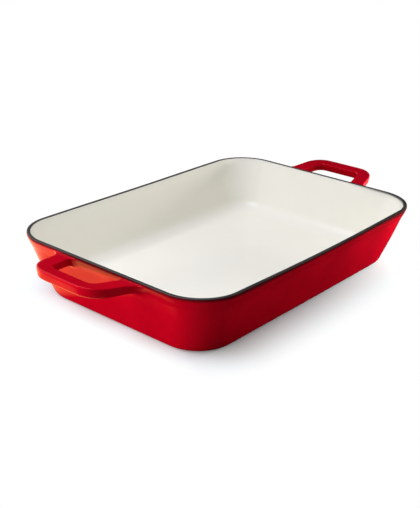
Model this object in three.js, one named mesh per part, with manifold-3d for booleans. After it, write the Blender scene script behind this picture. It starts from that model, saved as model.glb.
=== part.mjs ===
// Enamelled cast-iron baking dish with two loop handles, in millimetres, +Z up.
// It stands on z = 0 with its length along X. The origin is under its middle.
// One iron casting carries its glass coats: a dark ground coat that stays bare on the rim,
// a pale lining, and a red coat on the outside and underneath.
import * as THREE from "three";
import Module from "manifold-3d";

// Dish, measured at the rim
const rimLength = 360;
const rimWidth = 254.8;
const rimHeight = 63;
const rimCorner = 44.2; // corner radius seen from above
const cornerFade = 0.38; // outside, how fast that radius shrinks as the wall draws in
const sideBow = 2.85; // how far the middle of a long side bows out at the rim
const bowFade = 24; // the bow is gone where the wall has drawn in this far

// Wall section, as distances in from the rim's outline and heights
const baseRound = 4.5; // rounding from the base up into the wall
const wallDraft = 17; // degrees that the outside leans out
const lipFoot = 52; // height where the thicker lip starts
const lipStep = 1.2; // how far the lip stands out
const lipRise = 1.6; // height that this step takes
const lipDraft = 21; // degrees that the lip leans out
const rimRound = 1.3; // rounding on both edges of the rim
const rimLand = 1.8; // flat width on top of the rim
const innerDraft = 19; // degrees that the inside leans out
const innerFade = 0.6; // inside, how fast the corner radius shrinks
const floorHeight = 5;
const floorRound = 18; // rounding from the floor up into the wall

// Coats
const coat = 0.6; // thickness of each glass coat
const seam = 0.15; // gap between a coat and its neighbours
const redEnds = 24; // facing, on the rim's outer rounding, where the red coat gives way to the dark one
const creamEnds = 135; // facing, on its inner rounding, where the lining starts

// Loop handles, along X from the wall and level before they are tilted
const handleRoot = 179.9; // where an arm meets the rim
const handleTop = 62; // top of an arm at the rim
const handleTilt = 6.6; // degrees that a loop rises away from the dish
const gripReach = 38.6; // from the rim to the middle of the grip bar
const armSpread = 43.7; // half the distance between the arms at the rim
const gripSpread = 34.7; // the same where they would meet the bar
const loopCorner = 17; // bend of the centre line from arm to bar
const gripWidth = 14.2; // across the top
const armExtra = 2.6; // how much wider the arms are than the bar, on the side of the finger gap
const gripThick = 9.4;
const gripDraft = 12; // degrees that its sides lean in towards the bottom
const gripTopRound = 1.3; // rounding of its upper edges
const gripBottomRound = 3; // rounding of its lower edges
const armSink = 8; // how far an arm starts inside the wall
const armFade = 20; // length over which its section turns from the wall's slant to its own
const fillets = { outer: 6.5, inner: 5, above: 0, below: 4 }; // where an arm meets the wall

// Facets
const cornerSteps = 7;
const sideSteps = 5;
const baseSteps = 5;
const lipSteps = 2;
const outerEdgeSteps = 3;
const innerEdgeSteps = 2;
const liningEdgeSteps = 1;
const floorSteps = 6;
const gripSteps = 2; // on each rounded edge of a loop's section
const filletSteps = 5;
const bendSteps = 6;

const radians = THREE.MathUtils.degToRad;

// A point of the wall's section. Facing is the way the surface looks there, in degrees:
// 0 is outwards, 90 up, 180 inwards and -90 down.
function sectionPoint(inset, height, facing, corner) {
  return { inset, height, facing, corner };
}

function outerCorner(inset) {
  return rimCorner - cornerFade * inset;
}

function innerCorner(inset) {
  const rimThickness = rimLand + 2 * rimRound;
  return rimCorner - rimThickness - innerFade * (inset - rimThickness);
}

// Points round an edge of the section. Turn is 1 on a rounded edge and -1 in a hollow one.
function roundedEdge(centre, radius, turn, from, to, steps, cornerAt) {
  const points = [];
  for (let step = 0; step <= steps; step++) {
    const facing = from + ((to - from) * step) / steps;
    const inset = centre.inset - turn * radius * Math.cos(radians(facing));
    const height = centre.height + turn * radius * Math.sin(radians(facing));
    points.push(sectionPoint(inset, height, facing, cornerAt(inset)));
  }
  return points;
}

// The rim's two rounded edges, one on the outline and one inside it.
const rimEdgeHeight = rimHeight - rimRound;
const outerEdge = { inset: rimRound, height: rimEdgeHeight };
const innerEdge = { inset: rimRound + rimLand, height: rimEdgeHeight };

// The lip and the wall, worked out downwards from the rim.
const lipTop = rimRound * (1 - Math.cos(radians(lipDraft)));
const lipTopHeight = rimEdgeHeight - rimRound * Math.sin(radians(lipDraft));
const lipBottomHeight = lipFoot + lipRise;
const lipBottom = lipTop + (lipTopHeight - lipBottomHeight) * Math.tan(radians(lipDraft));
const wallTop = lipBottom + lipStep;
const wallFootHeight = baseRound * (1 - Math.sin(radians(wallDraft)));
const wallFoot = wallTop + (lipFoot - wallFootHeight) * Math.tan(radians(wallDraft));
const baseInset = wallFoot + baseRound * Math.cos(radians(wallDraft)); // edge of the flat base

// The outside, from the edge of the base up onto the rim's outer edge.
function outerSection() {
  const baseEdge = { inset: baseInset, height: baseRound };
  const stepMiddle = lipFoot + lipRise / 2;
  const stepFacing = -(wallDraft + lipDraft);
  return [
    ...roundedEdge(baseEdge, baseRound, 1, -90, -wallDraft, baseSteps, outerCorner),
    sectionPoint(wallTop, lipFoot, -wallDraft, outerCorner(wallTop)),
    sectionPoint(wallTop - lipStep / 2, stepMiddle, stepFacing, outerCorner(wallTop - lipStep / 2)),
    sectionPoint(lipBottom, lipBottomHeight, -lipDraft, outerCorner(lipBottom)),
    ...roundedEdge(outerEdge, rimRound, 1, -lipDraft, redEnds, lipSteps, outerCorner),
  ];
}

// The rim, from where the red coat ends to where the lining starts.
function rimSection() {
  return [
    ...roundedEdge(outerEdge, rimRound, 1, redEnds, 90, outerEdgeSteps, outerCorner),
    ...roundedEdge(innerEdge, rimRound, 1, 90, creamEnds, innerEdgeSteps, innerCorner),
  ];
}

// The inside, from the rim's inner edge down to the edge of the flat floor.
function innerSection() {
  const wallFacing = 180 - innerDraft;
  const top = roundedEdge(innerEdge, rimRound, 1, creamEnds, wallFacing, liningEdgeSteps, innerCorner);
  const wallStart = top[top.length - 1];
  // The hollow's centre lies one radius off the slanted wall and one above the floor.
  const centreHeight = floorHeight + floorRound;
  const wallInset = wallStart.inset + (wallStart.height - centreHeight) * Math.tan(radians(innerDraft));
  const centre = { inset: wallInset + floorRound / Math.cos(radians(innerDraft)), height: centreHeight };
  return [...top, ...roundedEdge(centre, floorRound, -1, wallFacing, 90, floorSteps, innerCorner)];
}

const outside = outerSection();
const rim = rimSection();
const inside = innerSection();

// The same section a little way under the surface, as a coat's inner face.
function under(points, depth) {
  return points.map(({ inset, height, facing, corner }) => {
    const sideways = depth * Math.cos(radians(facing));
    const down = depth * Math.sin(radians(facing));
    return sectionPoint(inset + sideways, height - down, facing, corner - sideways);
  });
}

// Moves one end point of a section along the section, to leave a seam.
function shortened(points, atStart) {
  const last = points.length - 1;
  const end = points[atStart ? 0 : last];
  const next = points[atStart ? 1 : last - 1];
  const span = Math.hypot(next.inset - end.inset, next.height - end.height);
  const moved = {};
  for (const key of Object.keys(end)) {
    moved[key] = THREE.MathUtils.lerp(end[key], next[key], seam / span);
  }
  return points.map((point) => (point === end ? moved : point));
}

// One level of the dish: a rectangle with round corners whose long sides bow out.
function ring({ inset, height, corner }) {
  const halfLength = rimLength / 2 - inset;
  const halfWidth = rimWidth / 2 - inset;
  const bow = sideBow * Math.max(0, 1 - inset / bowFade);
  const corners = [
    new THREE.Vector2(halfLength - corner, halfWidth - corner),
    new THREE.Vector2(corner - halfLength, halfWidth - corner),
    new THREE.Vector2(corner - halfLength, corner - halfWidth),
    new THREE.Vector2(halfLength - corner, corner - halfWidth),
  ];
  const arcPoint = (quarter, turn) => {
    const angle = ((quarter + turn) * Math.PI) / 2;
    const outwards = new THREE.Vector2(Math.cos(angle), Math.sin(angle));
    return corners[quarter].clone().addScaledVector(outwards, corner);
  };
  const flat = [];
  for (let quarter = 0; quarter < 4; quarter++) {
    for (let step = 0; step <= cornerSteps; step++) {
      flat.push(arcPoint(quarter, step / cornerSteps));
    }
    const sideStart = arcPoint(quarter, 1);
    const sideEnd = arcPoint((quarter + 1) % 4, 0);
    for (let step = 1; step < sideSteps; step++) {
      flat.push(sideStart.clone().lerp(sideEnd, step / sideSteps));
    }
  }
  return flat.map(({ x, y }) => {
    const bowHere = (y / halfWidth) * bow * (1 - (x / halfLength) ** 2);
    return new THREE.Vector3(x, y + bowHere, height);
  });
}

function middle(points) {
  const sum = new THREE.Vector3();
  points.forEach((point) => sum.add(point));
  return sum.divideScalar(points.length);
}

// Joins rings of equal counts into a closed solid: with flat ends, or endless as a band.
function loft(rings, endless = false) {
  const count = rings[0].length;
  const points = rings.flat();
  const triangles = [];
  const spans = endless ? rings.length : rings.length - 1;
  for (let span = 0; span < spans; span++) {
    const here = span * count;
    const next = ((span + 1) % rings.length) * count;
    for (let j = 0; j < count; j++) {
      const k = (j + 1) % count;
      // The diagonal always rises the same way round, so that the two faces of a coat match.
      if (points[next + j].z >= points[here + j].z) {
        triangles.push(here + j, here + k, next + k, here + j, next + k, next + j);
      } else {
        triangles.push(here + j, here + k, next + j, here + k, next + k, next + j);
      }
    }
  }
  if (!endless) {
    const last = (rings.length - 1) * count;
    const startCentre = points.push(middle(rings[0])) - 1;
    const endCentre = points.push(middle(rings[rings.length - 1])) - 1;
    for (let j = 0; j < count; j++) {
      const k = (j + 1) % count;
      triangles.push(startCentre, k, j, endCentre, last + j, last + k);
    }
  }
  return new THREE.BufferGeometry().setFromPoints(points).setIndex(triangles);
}

// How far out the wall's finished face is at a height, on the middle of an end.
function wallFace(height) {
  const above = outside.findIndex((point) => point.height >= height);
  if (above < 0) {
    return rimLength / 2;
  }
  const high = outside[above];
  const low = outside[above - 1];
  const share = (height - low.height) / (high.height - low.height);
  return rimLength / 2 - THREE.MathUtils.lerp(low.inset, high.inset, share);
}

// How far a hollow fillet of this radius stands off the arm at a distance from the wall.
function flare(distance, radius) {
  const reach = THREE.MathUtils.clamp(radius - distance, 0, radius);
  return radius - Math.sqrt(radius * radius - reach * reach);
}

// Stations along one loop's centre line: arm, bend, bar, bend, arm.
// Heading is the way the line runs, and facing is how a section that lies flat on the wall would run.
function loopStations() {
  const lean = Math.atan((armSpread - gripSpread) / gripReach);
  const bend = Math.PI / 2 - lean;
  const tangent = loopCorner * Math.tan(bend / 2);
  const armPoint = (along) => {
    const across = armSpread - along * Math.tan(lean);
    return { along, across, heading: -lean, facing: 0, extra: armExtra };
  };
  const half = [armPoint(-armSink)];
  for (let step = 0; step <= filletSteps; step++) {
    const turn = ((step / filletSteps) * Math.PI) / 2;
    half.push(armPoint(fillets.outer * (1 - Math.cos(turn))));
  }
  for (let step = 0; step <= bendSteps; step++) {
    const heading = -lean - (bend * step) / bendSteps;
    const along = gripReach - loopCorner - loopCorner * Math.sin(heading);
    const across = gripSpread - tangent + loopCorner * Math.cos(heading);
    const extra = armExtra * Math.cos((step / bendSteps) * (Math.PI / 2)) ** 2;
    half.push({ along, across, heading, facing: 0, extra });
  }
  const mirrored = half.map((station) => {
    const across = -station.across;
    const heading = -Math.PI - station.heading;
    return { ...station, across, heading, facing: -Math.PI };
  });
  return [...half, ...mirrored.reverse()];
}

// Section of the loop: a flat bar with round edges and sides that lean in downwards.
// It starts on the outer side and turns upwards.
function gripSection(depth) {
  const draft = radians(gripDraft);
  const edges = [
    { outwards: 1, upwards: 1, round: gripTopRound, from: -draft, to: Math.PI / 2 },
    { outwards: -1, upwards: 1, round: gripTopRound, from: Math.PI / 2, to: Math.PI + draft },
    { outwards: -1, upwards: -1, round: gripBottomRound, from: Math.PI + draft, to: 1.5 * Math.PI },
    { outwards: 1, upwards: -1, round: gripBottomRound, from: 1.5 * Math.PI, to: 2 * Math.PI - draft },
  ];
  return edges.flatMap(({ outwards, upwards, round, from, to }) => {
    const centreRise = upwards * (gripThick / 2 - round);
    const slantedSide = gripWidth / 2 - (gripThick / 2 - centreRise) * Math.tan(draft);
    const centreSide = outwards * (slantedSide - round / Math.cos(draft));
    const points = [];
    for (let step = 0; step <= gripSteps; step++) {
      const angle = THREE.MathUtils.lerp(from, to, step / gripSteps);
      const side = centreSide + (round - depth) * Math.cos(angle);
      const rise = centreRise + (round - depth) * Math.sin(angle);
      points.push({ side, rise });
    }
    return points;
  });
}

// One loop handle at the +X end, with fillets that spread onto the wall.
function loopHandle(depth) {
  const section = gripSection(depth);
  const tilt = radians(handleTilt);
  const middleHeight = handleTop - gripThick / 2;
  const stationRing = (station) => {
    const distance = Math.max(0, station.along) * Math.cos(tilt) + depth;
    const slant = THREE.MathUtils.clamp(1 - station.along / armFade, 0, 1);
    const turn = THREE.MathUtils.lerp(station.heading, station.facing, slant);
    return section.map(({ side, rise }) => {
      const outwards = flare(distance, fillets.outer + depth);
      const inwards = flare(distance, fillets.inner + depth) + station.extra;
      const riseFillet = flare(distance, (rise > 0 ? fillets.above : fillets.below) + depth);
      const wideSide = side * (1 + (side > 0 ? outwards : inwards) / (gripWidth / 2 - depth));
      const wideRise = rise * (1 + riseFillet / (gripThick / 2 - depth));
      const along = station.along - wideSide * Math.sin(turn);
      const height = middleHeight + along * Math.sin(tilt) + wideRise * Math.cos(tilt);
      const upright = handleRoot + along * Math.cos(tilt) - wideRise * Math.sin(tilt);
      const onWall = wallFace(height) + along * Math.cos(tilt);
      const x = THREE.MathUtils.lerp(upright, onWall, slant);
      return new THREE.Vector3(x, station.across + wideSide * Math.cos(turn), height);
    });
  };
  return loft(loopStations().map(stationRing));
}

const wasm = await Module();
wasm.setup();

function solidOf(geometry) {
  const vertProperties = geometry.attributes.position.array;
  const triVerts = new Uint32Array(geometry.index.array);
  return new wasm.Manifold(new wasm.Mesh({ numProp: 3, vertProperties, triVerts }));
}

function geometryOf(solid) {
  const { vertProperties, numProp, triVerts } = solid.getMesh();
  const geometry = new THREE.BufferGeometry();
  geometry.setAttribute("position", new THREE.BufferAttribute(vertProperties, numProp));
  geometry.setIndex(new THREE.BufferAttribute(triVerts, 1));
  geometry.computeVertexNormals();
  return geometry;
}

// Both loops as solids, a little way under their finished surface.
function bothHandles(depth) {
  const near = loopHandle(depth);
  const far = near.clone().rotateZ(Math.PI);
  return solidOf(near).add(solidOf(far));
}

// The dish without its hollow, a little way under the outside.
function filledDish(depth) {
  const upToRim = [...outside, ...rim.slice(1).filter((point) => point.facing < 90)];
  return solidOf(loft(under(upToRim, depth).map(ring)));
}

const coatBack = coat - seam; // the coats' inner faces, clear of the iron

// A coat as a band: its finished face one way and its inner face back.
function coatBand(points) {
  const backFace = under(points, coatBack).reverse();
  return loft([...points, ...backFace].map(ring), true);
}

// The iron: the whole section one coat under the surface, with both loops cast on.
function ironCasting() {
  const section = [...outside, ...rim.slice(1), ...inside.slice(1)];
  const shell = solidOf(loft(under(section, coat).map(ring)));
  const loops = bothHandles(coat).subtract(filledDish(2 * coat));
  return geometryOf(shell.add(loops));
}

// The red coat on the wall, the lip and both loops. The iron loops pass through it.
function redSideCoat() {
  const wall = solidOf(coatBand(shortened(outside, false)));
  const loops = bothHandles(0).subtract(filledDish(coat / 2));
  return geometryOf(wall.add(loops).subtract(bothHandles(coatBack)));
}

// The red coat under the base, which the dish stands on.
function redBaseCoat() {
  const inset = baseInset + seam;
  const corner = outerCorner(inset);
  const faces = [0, coatBack].map((height) => ring({ inset, height, corner }));
  return loft(faces);
}

// The pale lining of the walls and floor.
function creamLining() {
  const face = shortened(inside, true);
  const backFace = under(face, coatBack).reverse();
  return loft([...backFace, ...face].map(ring));
}

const finishes = {
  castIron: new THREE.MeshStandardMaterial({ color: 0x3b3c3e, roughness: 0.75, metalness: 0.9 }),
  darkGround: new THREE.MeshStandardMaterial({ color: 0x3a3532, roughness: 0.6, metalness: 0 }),
  cream: new THREE.MeshStandardMaterial({ color: 0xf2efe6, roughness: 0.16, metalness: 0 }),
  red: new THREE.MeshStandardMaterial({ color: 0xc2001d, roughness: 0.12, metalness: 0 }),
};

function piece(name, geometry, finish) {
  const mesh = new THREE.Mesh(geometry, finish);
  mesh.name = name;
  return mesh;
}

const dish = new THREE.Group();
dish.add(
  piece("iron_casting", ironCasting(), finishes.castIron),
  piece("rim_ground_coat", coatBand(rim), finishes.darkGround),
  piece("cream_lining", creamLining(), finishes.cream),
  piece("red_side_coat", redSideCoat(), finishes.red),
  piece("red_base_coat", redBaseCoat(), finishes.red),
);

export default dish;
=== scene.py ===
import math

import bmesh
import bpy
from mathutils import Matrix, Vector


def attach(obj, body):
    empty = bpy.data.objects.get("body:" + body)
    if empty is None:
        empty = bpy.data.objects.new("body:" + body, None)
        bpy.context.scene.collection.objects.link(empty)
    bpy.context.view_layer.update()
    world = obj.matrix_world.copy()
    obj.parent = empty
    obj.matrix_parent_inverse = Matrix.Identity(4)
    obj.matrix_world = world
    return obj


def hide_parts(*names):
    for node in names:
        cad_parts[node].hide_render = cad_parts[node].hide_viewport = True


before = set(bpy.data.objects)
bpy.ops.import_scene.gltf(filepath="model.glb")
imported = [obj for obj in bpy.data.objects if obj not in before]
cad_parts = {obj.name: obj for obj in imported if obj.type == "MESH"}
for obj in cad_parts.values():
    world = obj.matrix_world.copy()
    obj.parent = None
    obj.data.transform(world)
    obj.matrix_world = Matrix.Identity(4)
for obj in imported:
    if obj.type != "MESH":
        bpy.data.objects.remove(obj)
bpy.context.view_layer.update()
print("frame loaded:", ", ".join(sorted(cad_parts)))

# The casting's own sizes, in metres and degrees, seen at the rim
dish = {
    "length": 0.36,
    "width": 0.2548,
    "height": 0.063,
    "corner": 0.0442,
    "outerFade": 0.38,  # how fast the corner radius shrinks down the outside
    "outerFull": 0.0038,  # how much smaller still it is half-way down the wall
    "wallInset": 0.02,  # inset at the foot of the wall, where that is gone again
    "innerFade": 0.6,  # how fast it shrinks down the inside
    "bow": 0.00285,  # how far the middle of a long side bows out
    "bowFade": 0.024,  # the bow is gone this far in
    "midRise": -0.0002,  # the rim lies this much lower in the middle of a long side
    "endRise": 0.0011,  # and this much higher at the ends
    "riseSpan": 0.17,  # distance from the middle at which it is that high
    "rimRound": 0.0013,
    "rimLand": 0.0018,  # flat on top of the rim
    "redEnds": 50,  # facing, in degrees up from level, where the red stops
    "creamEnds": 135,  # facing where the lining starts
    "coat": 0.0005,
    "seam": 0.00004,  # between the rim's coat and its neighbours
    "weld": 0.000002,  # points closer than this become one
}

halfLength = dish["length"] / 2
halfWidth = dish["width"] / 2
rimThickness = dish["rimLand"] + 2 * dish["rimRound"]
edgeHeight = dish["height"] - dish["rimRound"]
innerEdge = rimThickness - dish["rimRound"]  # inset of the rim's inner rounding


def wave(degrees):
    return math.cos(math.radians(degrees)), math.sin(math.radians(degrees))


def slopeOf(degrees):
    return math.tan(math.radians(degrees))


def lerp(a, b, share):
    return a + (b - a) * share


def clamp(value, low=0.0, high=1.0):
    return max(low, min(high, value))


def smoothStep(low, high, value):
    share = clamp((value - low) / (high - low))
    return share * share * (3 - 2 * share)


def outerCorner(inset):
    # the last term is full half-way down the wall and nothing at its top and foot
    share = clamp(inset / dish["wallInset"])
    return dish["corner"] - dish["outerFade"] * inset - dish["outerFull"] * 4 * share * (1 - share)


def innerCorner(inset):
    return dish["corner"] - rimThickness - dish["innerFade"] * (inset - rimThickness)


# Section points are dictionaries: inset from the rim's outline, height, facing and corner radius.
# Facing is in degrees: 0 looks out, 90 up, 180 in, -90 down.
def sectionPoint(inset, height, facing, corner, thin=0.0, lift=0.0):
    return {"inset": inset, "height": height, "facing": facing, "corner": corner, "thin": thin, "lift": lift}


def roundEdge(inset, height, radius, turn, start, end, steps, cornerAt):
    points = []
    for step in range(steps + 1):
        facing = lerp(start, end, step / steps)
        across, up = wave(facing)
        here = inset - turn * radius * across
        points.append(sectionPoint(here, height + turn * radius * up, facing, cornerAt(here)))
    return points


def under(points, depth):
    result = []
    for point in points:
        across, up = wave(point["facing"])
        moved = dict(point)
        moved["inset"] += depth * across
        moved["height"] -= depth * up
        moved["corner"] = max(0.0, point["corner"] - depth * across)
        result.append(moved)
    return result


def toMiddle(edge, insets):
    # level rings from the edge of a flat floor to the line in its middle
    room = halfWidth - edge["inset"]
    points = []
    for inset in insets:
        share = (halfWidth - inset) / room
        points.append(sectionPoint(inset, edge["height"], edge["facing"], edge["corner"] * share))
    return points


def bowed(x, y, inset):
    bow = dish["bow"] * max(0.0, 1 - inset / dish["bowFade"])
    if bow == 0:
        return y
    return y + y / (halfWidth - inset) * bow * (1 - (x / (halfLength - inset)) ** 2)


def rimRise(x):
    return lerp(dish["midRise"], dish["endRise"], smoothStep(0, dish["riseSpan"], abs(x)))


def addObject(name, data):
    piece = bpy.data.objects.new(name, data)
    bpy.context.scene.collection.objects.link(piece)
    return piece


# Materials

cloudRange = (0.35, 0.65)  # part of a noise that is spread over a whole range of tones
grainRange = (0.3, 0.7)  # the same for finer noises
glassIndex = 1.5  # index of refraction


def addNode(tree, kind, place, inputs=None, **settings):
    node = tree.nodes.new(kind)
    node.location = place
    for key, value in settings.items():
        setattr(node, key, value)
    for key, value in (inputs or {}).items():
        if isinstance(value, bpy.types.NodeSocket):
            tree.links.new(value, node.inputs[key])
        else:
            node.inputs[key].default_value = value
    return node


def newMaterial(name):
    material = bpy.data.materials.new(name)
    material.use_nodes = True
    material.node_tree.nodes.clear()
    tree = material.node_tree
    shader = addNode(tree, "ShaderNodeBsdfPrincipled", (300, 0))
    addNode(tree, "ShaderNodeOutputMaterial", (600, 0), {"Surface": shader.outputs[0]})
    place = addNode(tree, "ShaderNodeTexCoord", (-1100, 0)).outputs["Object"]
    return material, tree, shader, place


def calculate(tree, at, operation, *values, **settings):
    inputs = dict(enumerate(values))
    return addNode(tree, "ShaderNodeMath", at, inputs, operation=operation, **settings).outputs[0]


def noise(tree, place, at, scale, detail, roughness=0.5):
    inputs = {"Vector": place, "Scale": scale, "Detail": detail, "Roughness": roughness}
    return addNode(tree, "ShaderNodeTexNoise", at, inputs).outputs["Fac"]


def asColour(value):
    return value if isinstance(value, bpy.types.NodeSocket) else (*value, 1)


def blendColours(tree, at, share, first, second):
    inputs = {0: share, 6: asColour(first), 7: asColour(second)}
    return addNode(tree, "ShaderNodeMix", at, inputs, data_type="RGBA").outputs[2]


def spread(tree, at, value, low, high, toLow=0.0, toHigh=1.0, kind="LINEAR"):
    inputs = dict(enumerate((value, low, high, toLow, toHigh)))
    return addNode(tree, "ShaderNodeMapRange", at, inputs, interpolation_type=kind).outputs[0]


def attribute(tree, at, name):
    return addNode(tree, "ShaderNodeAttribute", at, attribute_name=name).outputs["Fac"]


def relief(tree, at, height, distance):
    inputs = {"Height": height, "Distance": distance, "Strength": 1.0}
    return addNode(tree, "ShaderNodeBump", at, inputs).outputs["Normal"]


def glassFinish(name, look):
    # drifting tones, an uneven gloss and the slight waviness of fired glass
    material, tree, shader, place = newMaterial(name)
    cloud = noise(tree, place, (-850, 250), *look["cloud"])
    drift = spread(tree, (-650, 250), cloud, *cloudRange)
    body = blendColours(tree, (-430, 250), drift, *look["tones"])
    sheen = noise(tree, place, (-850, -50), *look["sheen"])
    gloss = spread(tree, (-430, -50), sheen, *grainRange, *look["roughness"])
    peel = noise(tree, place, (-850, -300), *look["peel"])
    waves = relief(tree, (-430, -300), peel, look["peelDepth"])
    tree.links.new(gloss, shader.inputs["Roughness"])
    tree.links.new(waves, shader.inputs["Normal"])
    shader.inputs["IOR"].default_value = glassIndex
    return material, tree, shader, place, body


# A noise is given by its scale and its detail.
redLook = {
    "tones": ((0.56, 0.0006, 0.012), (0.46, 0.0004, 0.010)),  # the second where the glass lies thicker
    "burntAndShade": (0.045, 0.004, 0.005),  # where it thins out over the dark ground coat, and painted shade in the strip just under the rim
    "cloud": (22, 3),  # tones drift over some centimetres
    "grain": (900, 3),  # breaks up the edge where it thins out
    "grainShare": (0.8, 1.2),
    "sheen": (60, 2),
    "roughness": (0.07, 0.13),
    "peel": (260, 1.5),
    "peelDepth": 0.000012,
    "glint": (1.0, 0.25, 0.09),  # warm tint of its reflections
    "mirror": (0.5, 0.1),  # how strong they are, from full glass to where it thins out
}


def redEnamel():
    material, tree, shader, place, body = glassFinish("red_enamel", redLook)
    grain = noise(tree, place, (-850, 500), *redLook["grain"])
    uneven = spread(tree, (-650, 500), grain, *grainRange, *redLook["grainShare"])
    # the thin mask darkens the red where the glass thins out over the ground coat; just under the rim this
    # darkening is painted shade
    glass = attribute(tree, (-850, 700), "thin")
    thin = calculate(tree, (-430, 520), "MULTIPLY", glass, uneven, use_clamp=True)
    colour = blendColours(tree, (-150, 250), thin, body, redLook["burntAndShade"])
    mirror = spread(tree, (-150, 520), thin, 0, 1, *redLook["mirror"])
    tree.links.new(colour, shader.inputs["Base Color"])
    tree.links.new(mirror, shader.inputs["Specular IOR Level"])
    shader.inputs["Specular Tint"].default_value = (*redLook["glint"], 1)
    return material


creamLook = {
    "tones": ((0.912, 0.885, 0.768), (0.902, 0.87, 0.75)),
    "edge": (0.06, 0.057, 0.052),  # the ground coat shining through at the rim
    "edgeShare": (0.12, 1.0),  # how much of it shows, from elsewhere to the corner at +X and -Y
    "edgeFrom": (0.21, 0.27),  # x - y over which it goes from one to the other
    "cloud": (14, 3),
    "sheen": (45, 2),
    "roughness": (0.19, 0.25),
    "peel": (220, 1.5),
    "peelDepth": 0.00001,
    "mirror": 0.3,
}


def creamEnamel():
    material, tree, shader, place, body = glassFinish("cream_enamel", creamLook)
    split = addNode(tree, "ShaderNodeSeparateXYZ", (-1050, 500), {0: place}).outputs
    towards = calculate(tree, (-850, 500), "SUBTRACT", split["X"], split["Y"])
    bare = spread(tree, (-650, 500), towards, *creamLook["edgeFrom"], *creamLook["edgeShare"])
    glass = attribute(tree, (-650, 700), "thin")
    thin = calculate(tree, (-430, 500), "MULTIPLY", bare, glass)
    colour = blendColours(tree, (-150, 250), thin, body, creamLook["edge"])
    tree.links.new(colour, shader.inputs["Base Color"])
    shader.inputs["Specular IOR Level"].default_value = creamLook["mirror"]
    return material


rimLook = {
    "tones": ((0.026, 0.023, 0.021), (0.056, 0.051, 0.047)),  # charcoal and ash
    "toneRange": (0.12, 0.4),
    "patch": (55, 4),
    "grain": (1500, 3),
    "grainDepth": 0.00004,
    "roughness": (0.38, 0.55),
}


def groundEnamel():
    material, tree, shader, place = newMaterial("ground_enamel")
    patch = noise(tree, place, (-850, 250), *rimLook["patch"])
    grain = noise(tree, place, (-850, -300), *rimLook["grain"])
    tone = calculate(tree, (-650, 250), "MULTIPLY", patch, grain)
    share = spread(tree, (-430, 250), tone, *rimLook["toneRange"])
    colour = blendColours(tree, (-150, 250), share, *rimLook["tones"])
    gloss = spread(tree, (-430, -50), patch, *grainRange, *rimLook["roughness"])
    grit = relief(tree, (-430, -300), grain, rimLook["grainDepth"])
    tree.links.new(colour, shader.inputs["Base Color"])
    tree.links.new(gloss, shader.inputs["Roughness"])
    tree.links.new(grit, shader.inputs["Normal"])
    return material


ironLook = {
    "tones": ((0.035, 0.035, 0.037), (0.085, 0.082, 0.08)),  # the second where it is worn
    "toneRange": (0.35, 0.7),
    "patch": (30, 4),
    "sand": (700, 5, 0.65),  # with its own roughness
    "sandDepth": 0.00025,
    "roughness": (0.55, 0.8),
    "metal": 0.85,
}


def castIron():
    material, tree, shader, place = newMaterial("cast_iron")
    sand = noise(tree, place, (-850, -300), *ironLook["sand"])
    patch = noise(tree, place, (-850, 250), *ironLook["patch"])
    share = spread(tree, (-430, 250), patch, *ironLook["toneRange"])
    colour = blendColours(tree, (-150, 250), share, *ironLook["tones"])
    gloss = spread(tree, (-430, -50), sand, *grainRange, *ironLook["roughness"])
    grit = relief(tree, (-430, -300), sand, ironLook["sandDepth"])
    tree.links.new(colour, shader.inputs["Base Color"])
    tree.links.new(gloss, shader.inputs["Roughness"])
    tree.links.new(grit, shader.inputs["Normal"])
    shader.inputs["Metallic"].default_value = ironLook["metal"]
    return material
finishes = {
    "red": redEnamel(),
    "cream": creamEnamel(),
    "ground": groundEnamel(),
    "iron": castIron(),
}
print("finishes made:", ", ".join(finishes))


# Geometry Nodes: a section polyline is carried round the dish's outline

loftSizes = {
    "Half Length": halfLength,
    "Half Width": halfWidth,
    "Bow": dish["bow"],
    "Bow Fade": dish["bowFade"],
    "Mid Rise": dish["midRise"],
    "End Rise": dish["endRise"],
    "Rise Span": dish["riseSpan"],
}


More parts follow.
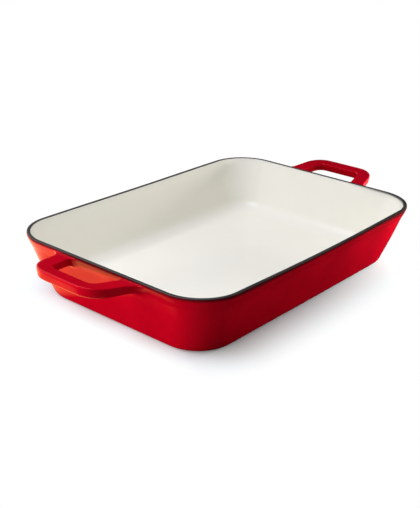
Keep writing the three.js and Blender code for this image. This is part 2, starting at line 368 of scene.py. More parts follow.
def dishLoftTree():
    tree = bpy.data.node_groups.new("dishLoft", "GeometryNodeTree")
    sockets = [("Section", "NodeSocketGeometry")]
    sockets += [(name, "NodeSocketFloat") for name in loftSizes]
    sockets += [(name, "NodeSocketInt") for name in ("Corner Steps", "Side Steps", "Closed")]
    sockets.append(("Finish", "NodeSocketMaterial"))
    for name, kind in sockets:
        tree.interface.new_socket(name, in_out="INPUT", socket_type=kind)
    tree.interface.new_socket("Mesh", in_out="OUTPUT", socket_type="NodeSocketGeometry")
    source = addNode(tree, "NodeGroupInput", (-1800, 0)).outputs
    column = [-1500]

    def calc(operation, *values):
        column[0] += 12
        return calculate(tree, (column[0], -600), operation, *values)

    def mixed(share, a, b):
        return calc("MULTIPLY_ADD", calc("SUBTRACT", b, a), share, a)

    size = addNode(tree, "GeometryNodeAttributeDomainSize", (-1500, 300), {0: source["Section"]})
    pointCount = size.outputs["Point Count"]
    rows = calc("ADD", pointCount, source["Closed"])
    quarterSteps = calc("ADD", source["Corner Steps"], source["Side Steps"])
    columns = calc("MULTIPLY", quarterSteps, 4)
    grid = addNode(tree, "GeometryNodeMeshGrid", (-1200, 300), {
        "Size X": 1,
        "Size Y": 1,
        "Vertices X": calc("ADD", columns, 1),
        "Vertices Y": rows,
    })

    # the grid's row and column, read from where a point lies in it
    place = addNode(tree, "GeometryNodeInputPosition", (-1500, 0))
    split = addNode(tree, "ShaderNodeSeparateXYZ", (-1350, 0), {0: place.outputs[0]}).outputs
    across = calc("ROUND", calc("MULTIPLY", calc("ADD", split["X"], 0.5), columns))
    along = calc("ROUND", calc("MULTIPLY", calc("ADD", split["Y"], 0.5), calc("SUBTRACT", rows, 1)))
    row = calc("MODULO", along, pointCount)

    def fromSection(name):
        read = addNode(tree, "GeometryNodeInputNamedAttribute", (-900, 600), {"Name": name}, data_type="FLOAT")
        inputs = {0: source["Section"], "Value": read.outputs["Attribute"], "Index": row}
        return addNode(tree, "GeometryNodeSampleIndex", (-700, 600), inputs, data_type="FLOAT").outputs[0]

    inset = fromSection("inset")
    height = fromSection("height")
    corner = fromSection("corner")

    # which quarter, how far round its corner, and how far along the straight that follows
    quarter = calc("FLOOR", calc("DIVIDE", calc("ADD", across, 0.25), quarterSteps))
    step = calc("SUBTRACT", across, calc("MULTIPLY", quarter, quarterSteps))
    bend = calc("DIVIDE", calc("MINIMUM", step, source["Corner Steps"]), source["Corner Steps"])
    beyond = calc("MAXIMUM", calc("SUBTRACT", step, source["Corner Steps"]), 0)
    straight = calc("DIVIDE", beyond, source["Side Steps"])
    angle = calc("MULTIPLY", calc("ADD", quarter, bend), math.pi / 2)

    def side(function, ahead):
        turn = calc("MULTIPLY", calc("ADD", quarter, 0.5 + ahead), math.pi / 2)
        return calc("SIGN", calc(function, turn))

    def centre(function, half):
        along = mixed(straight, side(function, 0), side(function, 1))
        return calc("MULTIPLY", along, calc("SUBTRACT", half, corner))

    long = calc("SUBTRACT", source["Half Length"], inset)
    wide = calc("SUBTRACT", source["Half Width"], inset)
    x = calc("MULTIPLY_ADD", calc("COSINE", angle), corner, centre("COSINE", long))
    y = calc("MULTIPLY_ADD", calc("SINE", angle), corner, centre("SINE", wide))

    # the bow of the long sides and the rise of the rim
    fade = calc("MAXIMUM", calc("SUBTRACT", 1, calc("DIVIDE", inset, source["Bow Fade"])), 0)
    bulge = calc("SUBTRACT", 1, calc("POWER", calc("DIVIDE", x, long), 2))
    share = calc("DIVIDE", y, calc("MAXIMUM", wide, 0.001))  # also where the floor ends in a line
    bow = calc("MULTIPLY", calc("MULTIPLY", source["Bow"], fade), calc("MULTIPLY", bulge, share))
    rises = (source["Mid Rise"], source["End Rise"])
    rise = spread(tree, (0, -400), calc("ABSOLUTE", x), 0.0, source["Rise Span"], *rises, "SMOOTHSTEP")
    lifted = calc("MULTIPLY_ADD", rise, fromSection("lift"), height)
    spot = addNode(tree, "ShaderNodeCombineXYZ", (200, -200), {"X": x, "Y": calc("ADD", y, bow), "Z": lifted})

    made = grid.outputs["Mesh"]
    for index, (kind, inputs, settings) in enumerate((
        ("StoreNamedAttribute", {"Name": "thin", "Value": fromSection("thin")}, {"data_type": "FLOAT"}),
        ("SetPosition", {"Position": spot.outputs[0]}, {}),
        ("MergeByDistance", {"Distance": dish["weld"]}, {}),
        ("SetShadeSmooth", {}, {}),
        ("SetMaterial", {"Material": source["Finish"]}, {}),
    )):
        place = (300 + 200 * index, 300)
        made = addNode(tree, "GeometryNode" + kind, place, {0: made, **inputs}, **settings).outputs[0]
    addNode(tree, "NodeGroupOutput", (1500, 300), {0: made})
    return tree


loftTree = dishLoftTree()


def pointOut(mesh):
    work = bmesh.new()
    work.from_mesh(mesh)
    bmesh.ops.recalc_face_normals(work, faces=work.faces)
    work.to_mesh(mesh)
    work.free()


def loftByNodes(name, section, closed, finish, plan):
    mesh = bpy.data.meshes.new(name)
    mesh.from_pydata(
        [(point["inset"], 0, point["height"]) for point in section],
        [(index, index + 1) for index in range(len(section) - 1)],
        [],
    )
    for key in ("inset", "height", "corner", "thin", "lift"):
        values = mesh.attributes.new(key, "FLOAT", "POINT")
        values.data.foreach_set("value", [point[key] for point in section])
    piece = addObject(name, mesh)
    loft = piece.modifiers.new("loft", "NODES")
    loft.node_group = loftTree
    inputs = {
        **loftSizes,
        "Corner Steps": plan["cornerSteps"],
        "Side Steps": plan["sideSteps"],
        "Closed": 1 if closed else 0,
        "Finish": finish,
    }
    for item in loftTree.interface.items_tree:
        if item.name in inputs:
            loft[item.identifier] = inputs[item.name]
    made = piece.evaluated_get(bpy.context.evaluated_depsgraph_get())
    result = bpy.data.meshes.new_from_object(made)
    piece.modifiers.clear()
    piece.data = result
    result.name = name
    pointOut(result)
    return piece


# Lining: wall and floor of the inside

lining = {
    "draft": 19,  # degrees that the inside leans out
    "floor": 0.005,
    "floorRound": 0.018,  # floor up into wall
    "thinOver": 0.0025,  # height below the rim over which the glass thins out
    "liftFrom": 0.045,  # above this height the wall follows the rim's rise
    "edgeSteps": 3,
    "wallShares": (0.03, 0.1, 0.35, 0.65, 0.93),  # rings down the wall
    "roundSteps": 14,
    "floorRings": (0.002, 0.012),  # rings in the floor, from its edge
    "floorInsets": (0.075, 0.1),  # and further in, from the rim's outline
    "cornerSteps": 18,
    "sideSteps": 14,
}


def liningFace():
    draft = lining["draft"]
    facing = 180 - draft
    top = roundEdge(
        innerEdge, edgeHeight, dish["rimRound"], 1, dish["creamEnds"], facing, lining["edgeSteps"], innerCorner
    )
    start = top[-1]
    hollowHeight = lining["floor"] + lining["floorRound"]
    hollowInset = start["inset"] + (start["height"] - hollowHeight) * slopeOf(draft)
    hollowInset += lining["floorRound"] / wave(draft)[0]
    hollow = roundEdge(
        hollowInset, hollowHeight, lining["floorRound"], -1, facing, 90, lining["roundSteps"], innerCorner
    )
    wall = []
    for share in lining["wallShares"]:
        inset = lerp(start["inset"], hollow[0]["inset"], share)
        height = lerp(start["height"], hollow[0]["height"], share)
        wall.append(sectionPoint(inset, height, facing, innerCorner(inset)))
    edge = hollow[-1]
    floorInsets = [edge["inset"] + more for more in lining["floorRings"]]
    points = top + wall + hollow + toMiddle(edge, [*floorInsets, *lining["floorInsets"], halfWidth])
    rimHeight = top[0]["height"]
    for point in points:
        point["thin"] = smoothStep(rimHeight - lining["thinOver"], rimHeight, point["height"])
        point["lift"] = smoothStep(lining["liftFrom"], rimHeight, point["height"])
    return points


def makeLining():
    face = liningFace()
    section = under(face, dish["coat"])[::-1] + face
    piece = loftByNodes("cream_enamel_lining", section, False, finishes["cream"], lining)
    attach(piece, "root")
    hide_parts("cream_lining")


# Rim: the dark ground coat left bare

rim = {
    "outerSteps": 7,
    "innerSteps": 6,
    "cornerSteps": 18,
    "sideSteps": 14,
}


def makeRim():
    radius = dish["rimRound"]
    seamTurn = math.degrees(dish["seam"] / radius)
    start = dish["redEnds"] + seamTurn
    end = dish["creamEnds"] - seamTurn
    face = roundEdge(radius, edgeHeight, radius, 1, start, 90, rim["outerSteps"], outerCorner)
    face += roundEdge(innerEdge, edgeHeight, radius, 1, 90, end, rim["innerSteps"], innerCorner)
    for point in face:
        point["lift"] = 1.0
    section = face + under(face, dish["coat"])[::-1]
    piece = loftByNodes("dark_rim", section, True, finishes["ground"], rim)
    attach(piece, "root")
    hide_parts("rim_ground_coat")

makeLining()
print("lining made")
makeRim()
print("rim made")


# Outside: wall, lip and base as one skin with both loop handles grown out of it

outside = {
    "baseRound": 0.0045,
    "wallDraft": 17,
    "lipFoot": 0.052,  # where the thicker lip starts
    "lipStep": 0.0012,
    "lipRise": 0.0016,
    "lipDraft": 21,
    "lipSoft": 0.0035,  # its step is spread this far above and below
    "thinOver": 0.0036,  # height below its top edge over which the glass thins out and the red is darkened, partly as painted shade under the rim
    "endThinOver": 0.0021,  # the same at the ends
    "endFrom": (0.12, 0.17),  # x over which it goes from one to the other
    "cornerThinOver": 0.003,  # more at the corner at +X and -Y
    "cornerFrom": (0.22, 0.27),  # x - y over which that starts
    "wallHeights": (0.0075, 0.012, 0.02, 0.029, 0.038, 0.0435),
    "cornerSteps": 10,
    "sideSteps": 20,
    "endShares": (0.33, 0.67),  # columns between an arm's window and the corner
    "endInset": 0.03,  # columns of an end draw together further in than this
    "footSteps": 6,
    "baseInsets": (0.0005, 0.003, 0.012),  # rings in the flat of the base
}

loop = {
    "root": 0.1799,  # where an arm meets the rim
    "top": 0.062,  # top of an arm there
    "tilt": 6.6,  # degrees that the loop rises away from the dish
    "reach": 0.0386,  # from the rim to the middle of the bar
    "armSpread": 0.0437,  # half the distance between the arms at the rim
    "barSpread": 0.0347,  # the same where they would meet the bar
    "bend": 0.017,
    "width": 0.0142,
    "armExtra": 0.0026,  # arms are wider on the side of the finger gap
    "thick": 0.0102,
    "sideDraft": 12,  # degrees that the sides lean in downwards
    "topRound": 0.0013,
    "bottomRound": 0.003,
    "slantFade": 0.02,  # an arm turns from the wall's slant to its own over this length
    "outerFillet": 0.0098,
    "innerFillet": 0.0088,
    "lowerFillet": 0.004,
    "filletSteps": 6,
    "armStops": (0.012, 0.0155, 0.0195),  # sections of an arm between its fillet and its bend
    "bendSteps": 8,
    "barStops": (0.55,),  # shares of the straight half bar
}

# Where the arms meet the wall, rows and columns of the skin leave a window for each arm.
window = {
    "rows": (0.0617, 0.06123, 0.0600, 0.0580, 0.0562, 0.0549, 0.0541, 0.0536, 0.0528, 0.0520, 0.0513),
    "top": 0.06209,
    "bottom": 0.0465,
    "inner": 0.0208,  # from the middle of the end to its two sides
    "outer": 0.0632,
    "flatShares": (1, 0.5, 0, -0.5, -1),  # across the flat top and bottom of an arm, outer side first
    "topCorner": 0.005,  # rise where the top of an arm turns into its sides
    "bottomCorner": -0.0045,  # and where its bottom does
    "between": (0.0, 0.008, 0.016),  # columns between the arms
}

lipAcross, lipUp = wave(outside["lipDraft"])
lipSlope = slopeOf(outside["lipDraft"])
wallSlope = slopeOf(outside["wallDraft"])
lipTopInset = dish["rimRound"] * (1 - lipAcross)
lipTopHeight = edgeHeight - dish["rimRound"] * lipUp
lipBottomHeight = outside["lipFoot"] + outside["lipRise"]
lipBottomInset = lipTopInset + (lipTopHeight - lipBottomHeight) * lipSlope
wallTopInset = lipBottomInset + outside["lipStep"]
redTop = edgeHeight + dish["rimRound"] * wave(dish["redEnds"])[1]


def outerInset(height):
    if height > lipTopHeight:
        off = clamp((height - edgeHeight) / dish["rimRound"], -1, 1)
        return dish["rimRound"] * (1 - math.sqrt(1 - off * off))
    onLip = lipTopInset + (lipTopHeight - height) * lipSlope
    onWall = wallTopInset + (outside["lipFoot"] - height) * wallSlope
    soft = outside["lipSoft"]
    return lerp(onWall, onLip, smoothStep(outside["lipFoot"] - soft, lipBottomHeight + soft, height))


def skinRows():
    # from a ring in the flat of the base up to the edge at the rim
    radius, draft = outside["baseRound"], outside["wallDraft"]
    across, up = wave(draft)
    baseInset = outerInset(radius * (1 - up)) + radius * across
    foot = roundEdge(baseInset, radius, radius, 1, -90, -draft, outside["footSteps"], outerCorner)
    base = toMiddle(foot[0], [baseInset + more for more in outside["baseInsets"]])[::-1]
    heights = [*outside["wallHeights"], window["bottom"], *window["rows"][::-1], window["top"], redTop]
    wall = []
    for height in heights:
        inset = outerInset(height)
        lift = smoothStep(window["rows"][0], redTop, height)
        wall.append(sectionPoint(inset, height, 0, outerCorner(inset), lift=lift))
    return base + foot + wall


# how far the red glass has thinned out near the rim; the darkening this drives is partly painted shade under
# the rim
def thinAndShadeAt(x, y, height):
    over = lerp(outside["thinOver"], outside["endThinOver"], smoothStep(*outside["endFrom"], abs(x)))
    over += outside["cornerThinOver"] * smoothStep(*outside["cornerFrom"], x - y)
    return smoothStep(redTop - over, redTop, height)


def barSection():
    # outer top corner, over the top, down the inner side, under the bottom, up the outer side
    half = loop["thick"] / 2
    middle = loop["top"] - half
    level = math.cos(math.radians(loop["tilt"]))
    lowered = 1 + loop["lowerFillet"] / half
    lean = math.radians(loop["sideDraft"])

    def slant(rise):
        return loop["width"] / 2 - (half - rise) * math.tan(lean)

    def sideAt(rise):
        for sign, radius in ((1, loop["topRound"]), (-1, loop["bottomRound"])):
            centre = sign * (half - radius)
            if sign * (rise - centre) > -sign * radius * math.sin(lean):
                over = rise - centre
                bulge = math.sqrt(max(0.0, radius * radius - over * over))
                return slant(centre) - radius / math.cos(lean) + bulge
        return slant(rise)

    rises = [window["topCorner"]]
    for height in window["rows"]:
        rise = (height - middle) / level
        rises.append(rise if rise > 0 else rise / lowered)
    rises.append(window["bottomCorner"])
    inner = [(-sideAt(rise), rise) for rise in rises]
    outer = [(sideAt(rise), rise) for rise in rises[::-1]]
    topFlat = sideAt(half)
    bottomFlat = sideAt(-half)
    top = [(share * topFlat, half) for share in window["flatShares"]]
    bottom = [(-share * bottomFlat, -half) for share in window["flatShares"]]
    return [outer[-1]] + top + inner + bottom + outer[:-1]


def flare(distance, radius):
    reach = clamp(radius - distance, 0, radius)
    return radius - math.sqrt(radius * radius - reach * reach)


def loopStations():
    lean = math.atan((loop["armSpread"] - loop["barSpread"]) / loop["reach"])
    turn = math.pi / 2 - lean
    tangent = loop["bend"] * math.tan(turn / 2)
    half = []

    def onArm(along):
        across = loop["armSpread"] - along * math.tan(lean)
        half.append({
            "along": along,
            "across": across,
            "heading": -lean,
            "facing": 0,
            "extra": loop["armExtra"],
        })

    for step in range(loop["filletSteps"] + 1):
        onArm(loop["outerFillet"] * (1 - math.cos(step / loop["filletSteps"] * math.pi / 2)))
    for along in loop["armStops"]:
        onArm(along)
    for step in range(loop["bendSteps"] + 1):
        share = step / loop["bendSteps"]
        heading = -lean - turn * share
        half.append({
            "along": loop["reach"] - loop["bend"] * (1 + math.sin(heading)),
            "across": loop["barSpread"] - tangent + loop["bend"] * math.cos(heading),
            "heading": heading,
            "facing": 0,
            "extra": loop["armExtra"] * math.cos(share * math.pi / 2) ** 2,
        })
    last = half[-1]
    for share in loop["barStops"]:
        half.append({**last, "across": lerp(last["across"], 0, share)})
    mirrored = []
    for station in half[::-1]:
        mirrored.append({
            **station,
            "across": -station["across"],
            "heading": -math.pi - station["heading"],
            "facing": -math.pi,
        })
    return half + [{**last, "across": 0.0}] + mirrored


def stationRing(station, section):
    tiltAcross, tiltUp = wave(loop["tilt"])
    middle = loop["top"] - loop["thick"] / 2
    distance = max(0.0, station["along"]) * tiltAcross
    slant = clamp(1 - station["along"] / loop["slantFade"])
    turn = lerp(station["heading"], station["facing"], slant)
    outwards = flare(distance, loop["outerFillet"])
    inwards = flare(distance, loop["innerFillet"]) + station["extra"]
    lowered = flare(distance, loop["lowerFillet"])
    points = []
    for side, rise in section:
        wide = side * (1 + (outwards if side > 0 else inwards) / (loop["width"] / 2))
        high = rise * (1 + (0 if rise > 0 else lowered) / (loop["thick"] / 2))
        along = station["along"] - wide * math.sin(turn)
        height = middle + along * tiltUp + high * tiltAcross
        upright = loop["root"] + along * tiltAcross - high * tiltUp
        onWall = halfLength - outerInset(height) + along * tiltAcross
        points.append(Vector((lerp(upright, onWall, slant), station["across"] + wide * math.cos(turn), height)))
    return points


def endColumns():
    # how far along an end each column stands; the arms' own columns follow their roots
    outerScale = 1 + loop["outerFillet"] / (loop["width"] / 2)
    innerScale = 1 + (loop["innerFillet"] + loop["armExtra"]) / (loop["width"] / 2)
    topFlat = barSection()[1][0]
    arm = []
    for share in window["flatShares"]:
        arm.append(loop["armSpread"] + share * topFlat * (outerScale if share > 0 else innerScale))
    half = list(window["between"]) + [window["inner"]] + arm[::-1] + [window["outer"]]
    return [-y for y in half[:0:-1]] + half


def skinColumns():
    # each column is a function that gives x and y for an inset and a corner radius
    columns = []

    def onEnd(end, y, share=0.0):
        def place(inset, corner):
            limit = math.copysign(halfWidth - inset - corner, y)
            room = halfWidth - inset
            fixed = y * min(1.0, room / (halfWidth - outside["endInset"]))
            return end * (halfLength - inset), end * lerp(fixed, limit, share)
        return place

    def onCorner(quarter, share):
        angle = (quarter + share) * math.pi / 2
        signX = 1 if quarter in (0, 3) else -1
        signY = 1 if quarter in (0, 1) else -1

        def place(inset, corner):
            x = signX * (halfLength - inset - corner) + corner * math.cos(angle)
            y = signY * (halfWidth - inset - corner) + corner * math.sin(angle)
            return x, y
        return place

    def onSide(side, share):
        def place(inset, corner):
            return side * (halfLength - inset - corner) * (1 - 2 * share), side * (halfWidth - inset)
        return place

    ys = endColumns()
    shares = outside["endShares"]
    for end, quarter in ((1, 0), (-1, 2)):
        for share in shares[::-1]:
            columns.append(("rest", onEnd(end, ys[0], share)))
        for index, y in enumerate(ys):
            columns.append(((end, index), onEnd(end, y)))
        for share in shares:
            columns.append(("rest", onEnd(end, ys[-1], share)))
        for step in range(outside["cornerSteps"] + 1):
            columns.append(("rest", onCorner(quarter, step / outside["cornerSteps"])))
        for step in range(1, outside["sideSteps"]):
            columns.append(("rest", onSide(end, step / outside["sideSteps"])))
        for step in range(outside["cornerSteps"] + 1):
            columns.append(("rest", onCorner(quarter + 1, step / outside["cornerSteps"])))
    return columns


def makeSkin():
    rows = skinRows()
    columns = skinColumns()
    work = bmesh.new()
    thinAndShadeLayer = work.verts.layers.float.new("thin")
    corners = {}

    def vertex(row, column):
        key = (row, column % len(columns))
        if key not in corners:
            point = rows[row]
            x, y = columns[key[1]][1](point["inset"], point["corner"])
            height = point["height"] + point["lift"] * rimRise(x)
            made = work.verts.new((x, bowed(x, y, point["inset"]), height))
            made[thinAndShadeLayer] = thinAndShadeAt(x, y, point["height"])
            corners[key] = made
        return corners[key]

    # rows and columns that bound the windows
    topRow = len(rows) - 2
    bottomRow = topRow - len(window["rows"]) - 1
    named = {key: index for index, (key, _) in enumerate(columns) if key != "rest"}
    armCount = len(window["flatShares"]) + 2
    lastColumn = len(endColumns()) - 1
    # outer column and the step towards the finger gap, for the two arms of an end
    arms = ((lastColumn, -1), (0, 1))
    opened = set()
    for end in (1, -1):
        for outerColumn, inwards in arms:
            for step in range(armCount - 1):
                first = named[(end, outerColumn + inwards * step)]
                second = named[(end, outerColumn + inwards * (step + 1))]
                for row in range(bottomRow, topRow):
                    opened.add((row, min(first, second)))
    for row in range(len(rows) - 1):
        for column in range(len(columns)):
            if (row, column) in opened:
                continue
            work.faces.new((
                vertex(row, column),
                vertex(row, column + 1),
                vertex(row + 1, column + 1),
                vertex(row + 1, column),
            ))

    work.faces.new([vertex(0, column) for column in range(len(columns))][::-1])

    def windowEdge(end, outerColumn, inwards):
        across = [named[(end, outerColumn + inwards * step)] for step in range(armCount)]
        edge = [vertex(topRow, column) for column in across]
        edge += [vertex(row, across[-1]) for row in range(topRow - 1, bottomRow, -1)]
        edge += [vertex(bottomRow, column) for column in across[::-1]]
        edge += [vertex(row, across[0]) for row in range(bottomRow + 1, topRow)]
        return edge

    def joinRings(first, second):
        count = len(first)
        for index in range(count):
            after = (index + 1) % count
            work.faces.new((first[index], first[after], second[after], second[index]))

    section = barSection()
    stations = loopStations()
    for end in (1, -1):
        rings = []
        for station in stations:
            ring = []
            for point in stationRing(station, section):
                made = work.verts.new((end * point.x, end * point.y, point.z))
                made[thinAndShadeLayer] = 0.0
                ring.append(made)
            rings.append(ring)
        for first, second in zip(rings, rings[1:]):
            joinRings(first, second)
        for ring, (outerColumn, inwards) in zip((rings[0], rings[-1]), arms):
            joinRings(windowEdge(end, outerColumn, inwards), ring)

    bmesh.ops.remove_doubles(work, verts=work.verts, dist=dish["weld"])
    bmesh.ops.recalc_face_normals(work, faces=work.faces)
    for face in work.faces:
        face.smooth = True
    mesh = bpy.data.meshes.new("red_enamel_outside")
    work.to_mesh(mesh)
    work.free()
    mesh.materials.append(finishes["red"])
    piece = addObject("red_enamel_outside", mesh)
    rounded = piece.modifiers.new("rounded", "SUBSURF")
    rounded.levels = 1
    rounded.render_levels = 1
    glass = piece.modifiers.new("glass", "SOLIDIFY")
    glass.thickness = dish["coat"]
    glass.offset = -1
    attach(piece, "root")
    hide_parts("red_side_coat", "red_base_coat")


makeSkin()
print("outside made")

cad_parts["iron_casting"].data.materials.clear()
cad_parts["iron_casting"].data.materials.append(finishes["iron"])
print("casting dressed")


# Studio: floor, lamps, world and camera

floorPlan = {
    "size": 14,
    "drop": 0.0002,  # below the level that the dish stands on
    # near the dish the floor's colour is tinted cyan by place, to cancel the red light that the dish throws on
    # it
    "nearColour": (0.83, 0.915, 0.9),  # as the camera sees it, at the near end
    "sideColour": (0.735, 0.89, 0.895),  # along the long side, where the wall throws red light on it
    "sideFrom": (-0.12, -0.02),  # x over which it goes from one to the other
    "endColour": (0.775, 1.0, 0.985),  # and towards the right and far corners, where there is most of it
    "endFrom": ((0.0, 0.09), (0.04, 0.1)),  # x and y over which it goes to that
    "glow": 0.04,  # white that the camera sees in it besides the lamps' light
    "foot": (0.15, 0.107),  # about half the size of the dish's base
    "footCorner": 0.04,  # and the radius of its corners
    "whiteBy": (0.03, 0.053),  # beyond its ends and sides the floor turns plain white over this distance
    "bounce": (0.5, 0.5, 0.5),  # as it lights the dish
    "mirror": (0.008, 0.008, 0.008),  # as the enamel mirrors it
    "patchColour": (1, 0.35, 0.13),  # but for a warm patch beyond the near end that glows only in the enamel's reflections, a painted reflection
    "patchLight": 1.8,
    "patchFrom": (-0.1912, -0.199),  # x - turn * y over which it starts
    "patchTurn": 0.4,
    "patchTurnTo": 0.0,  # y below which it doesn't turn any more
    "patchTo": (-0.31, -0.29),  # x over which it ends
    "patchSlant": 0.92,
    "patchEdge": (-0.255, -0.185),  # y + slant * x over which its side fades
    "paleColour": (1, 0.85, 0.75),  # and for a pale glow behind the dish and on its right, also seen only in reflections
    "paleLight": 0.48,
    "paleBehind": (0.125, 0.15),  # y and x over which that starts
    "paleRight": (0.255, 0.29),
}


def makeFloor():
    mesh = bpy.data.meshes.new("floor")
    reach = floorPlan["size"] / 2
    drop = -floorPlan["drop"]
    signs = ((-1, -1), (1, -1), (1, 1), (-1, 1))
    mesh.from_pydata([(x * reach, y * reach, drop) for x, y in signs], [], [(0, 1, 2, 3)])
    material = bpy.data.materials.new("pale_floor")
    material.use_nodes = True
    material.cycles.emission_sampling = "NONE"
    tree = material.node_tree
    tree.nodes.clear()
    rays = addNode(tree, "ShaderNodeLightPath", (-2000, -300)).outputs
    place = addNode(tree, "ShaderNodeTexCoord", (-2000, 100)).outputs["Object"]
    split = addNode(tree, "ShaderNodeSeparateXYZ", (-1800, 100), {0: place}).outputs
    corner = floorPlan["footCorner"]

    def calc(operation, at, *values):
        return calculate(tree, at, operation, *values)

    def past(axis, height):
        # how far a point lies beyond the start of the base's round corners
        away = calc("ABSOLUTE", (-1600, height), split["XY"[axis]])
        beyond = calc("SUBTRACT", (-1400, height), away, floorPlan["foot"][axis] - corner)
        return calc("MAXIMUM", (-1200, height), beyond, 0)

    def whiteFrom(axis, height, distance):
        return spread(tree, (-800, height), distance, corner, corner + floorPlan["whiteBy"][axis])

    def nearEnd(axis, height):
        return spread(tree, (-1400, height), split["XY"[axis]], *floorPlan["endFrom"][axis])

    # what the camera sees: the shadow near the dish, and plain white beyond it
    pastEnd, pastSide = past(0, 300), past(1, 100)
    sideSquare = calc("MULTIPLY", (-1100, 0), pastSide, pastSide)
    squares = calc("MULTIPLY_ADD", (-1000, 100), pastEnd, pastEnd, sideSquare)
    fromCorner = calc("SQRT", (-900, 100), squares)
    white = calc("MAXIMUM", (-700, 300), whiteFrom(0, 300, pastEnd), whiteFrom(1, 100, fromCorner))
    side = spread(tree, (-1200, 500), split["X"], *floorPlan["sideFrom"])
    along = blendColours(tree, (-1000, 500), side, floorPlan["nearColour"], floorPlan["sideColour"])
    ends = calc("MAXIMUM", (-1200, 700), nearEnd(0, 900), nearEnd(1, 700))
    own = blendColours(tree, (-800, 500), ends, along, floorPlan["endColour"])
    shaded = blendColours(tree, (-600, 300), white, own, (0, 0, 0))
    lit = blendColours(tree, (-400, 300), rays["Is Camera Ray"], floorPlan["bounce"], shaded)
    colour = blendColours(tree, (-200, 300), rays["Is Glossy Ray"], lit, floorPlan["mirror"])
    matt = addNode(tree, "ShaderNodeBsdfDiffuse", (0, 200), {"Color": colour}).outputs[0]
    seen = calc("ADD", (-800, -100), rays["Is Camera Ray"], rays["Is Transmission Ray"])
    level = spread(tree, (-600, 0), white, 0, 1, floorPlan["glow"], 1)
    strength = calc("MULTIPLY", (-400, -100), seen, level)
    glow = addNode(tree, "ShaderNodeEmission", (0, 0), {"Strength": strength}).outputs[0]

    # what the enamel mirrors: painted reflections from a warm glowing patch beyond the near end and a pale glow
    # further round, which only glossy rays see
    turning = calc("MAXIMUM", (-1400, -500), split["Y"], floorPlan["patchTurnTo"])
    turned = calc("MULTIPLY_ADD", (-1200, -500), turning, -floorPlan["patchTurn"], split["X"])
    near = spread(tree, (-1000, -500), turned, *floorPlan["patchFrom"])
    far = spread(tree, (-1000, -300), split["X"], *floorPlan["patchTo"])
    slanted = calc("MULTIPLY_ADD", (-1200, -700), split["X"], floorPlan["patchSlant"], split["Y"])
    inside = spread(tree, (-1000, -700), slanted, *floorPlan["patchEdge"])
    patch = calc("MULTIPLY", (-800, -600), calc("MULTIPLY", (-900, -400), near, far), inside)
    behind = spread(tree, (-1000, -900), split["Y"], *floorPlan["paleBehind"])
    right = spread(tree, (-1000, -1100), split["X"], *floorPlan["paleRight"])
    pale = calc("MAXIMUM", (-800, -900), behind, right)

    def mirrored(height, share, light, colour):
        bright = calc("MULTIPLY", (-400, height), share, light)
        strength = calc("MULTIPLY", (-200, height), bright, rays["Is Glossy Ray"])
        inputs = {"Color": (*colour, 1), "Strength": strength}
        return addNode(tree, "ShaderNodeEmission", (0, height), inputs).outputs[0]

    warmGlow = mirrored(-300, patch, floorPlan["patchLight"], floorPlan["patchColour"])
    paleGlow = mirrored(-600, pale, floorPlan["paleLight"], floorPlan["paleColour"])
    whole = matt
    for index, more in enumerate((glow, warmGlow, paleGlow)):
        whole = addNode(tree, "ShaderNodeAddShader", (200 + 100 * index, 100), {0: whole, 1: more}).outputs[0]
    addNode(tree, "ShaderNodeOutputMaterial", (600, 0), {"Surface": whole})
    mesh.materials.append(material)
    piece = addObject("floor", mesh)


# softbox over the near end
softbox = {
    "place": (-0.38, 0.16, 0.73),
    "aim": (-0.08, 0.0, 0.0),
    "size": (0.55, 0.55),
    "light": 4.7,  # radiance
    "colour": (0.93, 0.965, 1.15),
    "mirrored": True,  # whether the enamel shows it
}

# low panel beside the near handle, no higher than the rim
lowPanel = {
    "place": (-0.82, 0.47, 0.03),
    "aim": (-0.17, 0.0, 0.03),
    "size": (0.75, 0.055),
    "light": 56.0,
    "colour": (1, 1, 1),
    "mirrored": False,
}

# lamp on the right, close to the far end of the long side
rightLamp = {
    "place": (0.3, -0.22, 0.06),
    "aim": (0.12, -0.12, 0.03),
    "size": (0.1, 0.08),
    "light": 44.0,
    "colour": (1, 1, 1),
    "mirrored": False,
}


def makePanel(name, plan):
    lamp = bpy.data.lights.new(name, "AREA")
    lamp.shape = "RECTANGLE"
    lamp.size, lamp.size_y = plan["size"]
    lamp.energy = plan["light"] * math.pi * lamp.size * lamp.size_y
    lamp.color = plan["colour"]
    piece = addObject(name, lamp)
    stand = Vector(plan["place"])
    piece.location = stand
    piece.rotation_euler = (Vector(plan["aim"]) - stand).to_track_quat("-Z", "Y").to_euler()
    piece.visible_camera = False
    piece.visible_glossy = plan["mirrored"]


worldPlan = {
    "fill": 0.53,  # level of its light
    "front": (-0.25, -0.8, -0.55),  # where it is dim, low down in front of the long side
    "frontEdge": (0.0, 0.6),  # how far it has to look that way
    "frontLevel": 0.04,
    "mirror": 0.004,  # how bright the enamel mirrors it
    "backdrop": (-0.2, 0.95, 0.22),  # and the side of it where that is brighter
    "backdropEdge": (0.62, 0.8),
    "backdropLevel": 1.0,
}


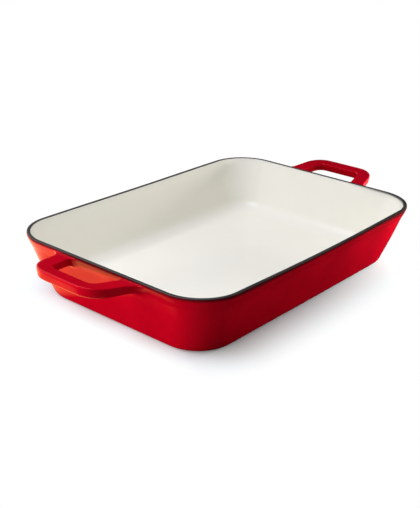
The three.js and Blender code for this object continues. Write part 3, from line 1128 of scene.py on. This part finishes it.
def makeWorld():
    world = bpy.data.worlds.new("studio")
    bpy.context.scene.world = world
    world.use_nodes = True
    tree = world.node_tree
    tree.nodes.clear()
    rays = addNode(tree, "ShaderNodeLightPath", (-900, 0)).outputs
    towards = addNode(tree, "ShaderNodeTexCoord", (-1100, -300)).outputs["Generated"]

    def facing(at, direction):
        inputs = {0: towards, 1: direction}
        return addNode(tree, "ShaderNodeVectorMath", at, inputs, operation="DOT_PRODUCT").outputs["Value"]

    behind = facing((-900, -150), worldPlan["backdrop"])
    levels = (worldPlan["mirror"], worldPlan["backdropLevel"])
    mirror = spread(tree, (-700, -150), behind, *worldPlan["backdropEdge"], *levels)
    front = facing((-900, -450), worldPlan["front"])
    levels = (worldPlan["fill"], worldPlan["fill"] * worldPlan["frontLevel"])
    fill = spread(tree, (-500, -300), front, *worldPlan["frontEdge"], *levels)
    seen = calculate(tree, (-600, 100), "ADD", rays["Is Camera Ray"], rays["Is Transmission Ray"])
    polished = calculate(tree, (-400, 50), "MULTIPLY_ADD", rays["Is Glossy Ray"], mirror, seen)
    level = calculate(tree, (-200, 0), "MULTIPLY_ADD", rays["Is Diffuse Ray"], fill, polished)
    light = addNode(tree, "ShaderNodeBackground", (0, 0), {"Color": (1, 1, 1, 1), "Strength": level})
    addNode(tree, "ShaderNodeOutputWorld", (200, 0), {"Surface": light.outputs[0]})


view = {
    "azimuth": -49.74,
    "elevation": 23.2,
    "roll": 1.24,
    "distance": 0.91676,
    "target": (-0.02969, -0.00462, 0.03),
    "lens": 63.69,  # millimetres
    "frame": 36,  # the same
}


def makeCamera():
    lens = bpy.data.cameras.new("camera")
    lens.lens = view["lens"]
    lens.sensor_width = view["frame"]
    lens.sensor_fit = "AUTO"
    piece = addObject("camera", lens)
    turnX, turnY = wave(view["azimuth"])
    level, up = wave(view["elevation"])
    back = Vector((turnY * level, -turnX * level, up))
    right = Vector((turnX, turnY, 0))
    above = back.cross(right)
    rollX, rollY = wave(view["roll"])
    leanRight = right * rollX + above * rollY
    leanUp = above * rollX - right * rollY
    stand = Vector(view["target"]) + back * view["distance"]
    for row in range(3):
        for column, axis in enumerate((leanRight, leanUp, back, stand)):
            piece.matrix_world[row][column] = axis[row]
    bpy.context.scene.camera = piece


makeFloor()
makePanel("softbox", softbox)
makePanel("low_panel", lowPanel)
makePanel("right_lamp", rightLamp)
makeWorld()
makeCamera()
bpy.context.scene.view_settings.view_transform = "Standard"
print("studio made")
